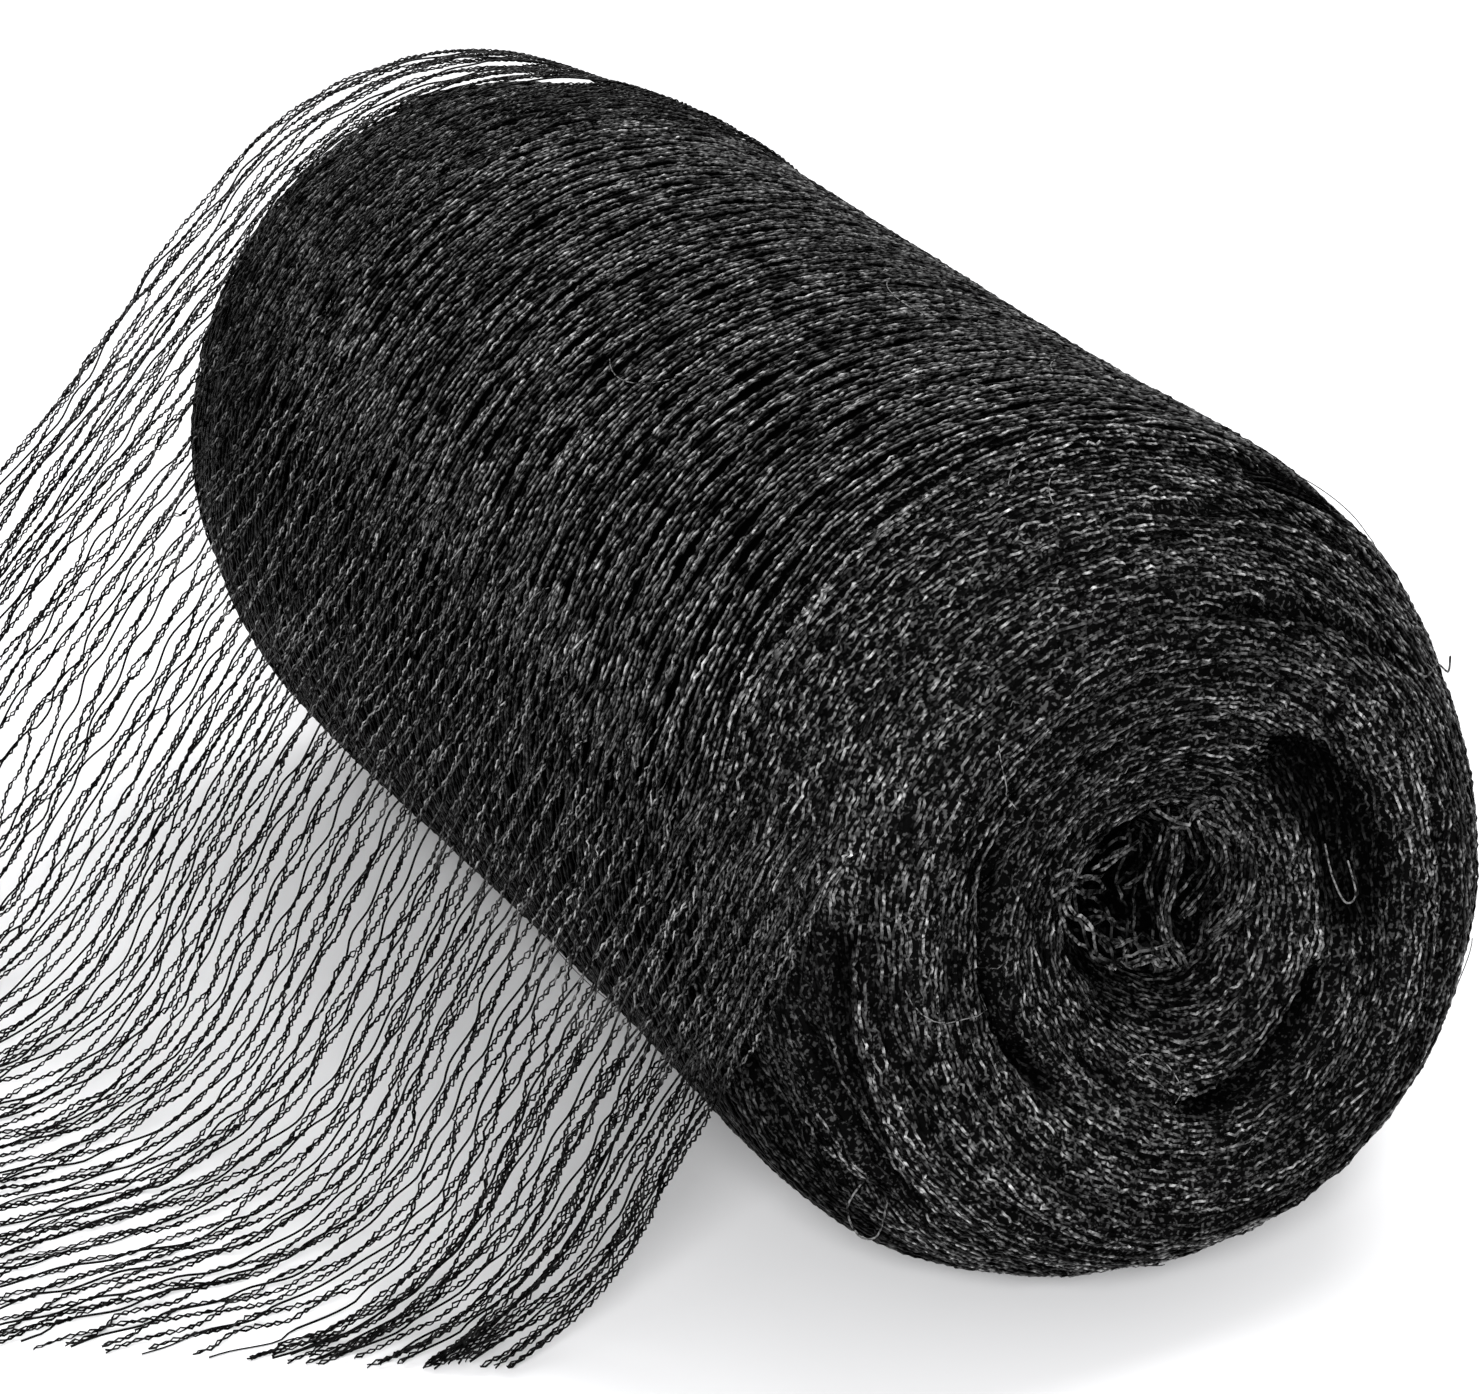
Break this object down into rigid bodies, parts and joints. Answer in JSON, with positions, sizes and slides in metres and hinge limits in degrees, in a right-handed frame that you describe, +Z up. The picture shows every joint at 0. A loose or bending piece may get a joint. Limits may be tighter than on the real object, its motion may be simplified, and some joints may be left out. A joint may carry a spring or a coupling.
{
  "type": "roll of pond netting",
  "caption": "Soft coreless roll of black knitted pond netting lying on its side, with the loose end of the net hanging off it and running out over the floor.",
  "frame": {"origin": "middle of the flat spot under the roll, on the floor", "axes": "+Z up, +Y along the roll from its near end to its far end, the loose net runs out towards -X"},
  "size_m": [0.3085, 0.3075, 0.1638],
  "materials": {
    "wound_net": "black knitted polyethylene yarn, slightly glossy",
    "loose_net": "black knitted polyethylene yarn, slightly glossy"
  },
  "bodies": {
    "root": {"net_roll": "wound_net", "loose_net": "loose_net"}
  },
  "joints": []
}
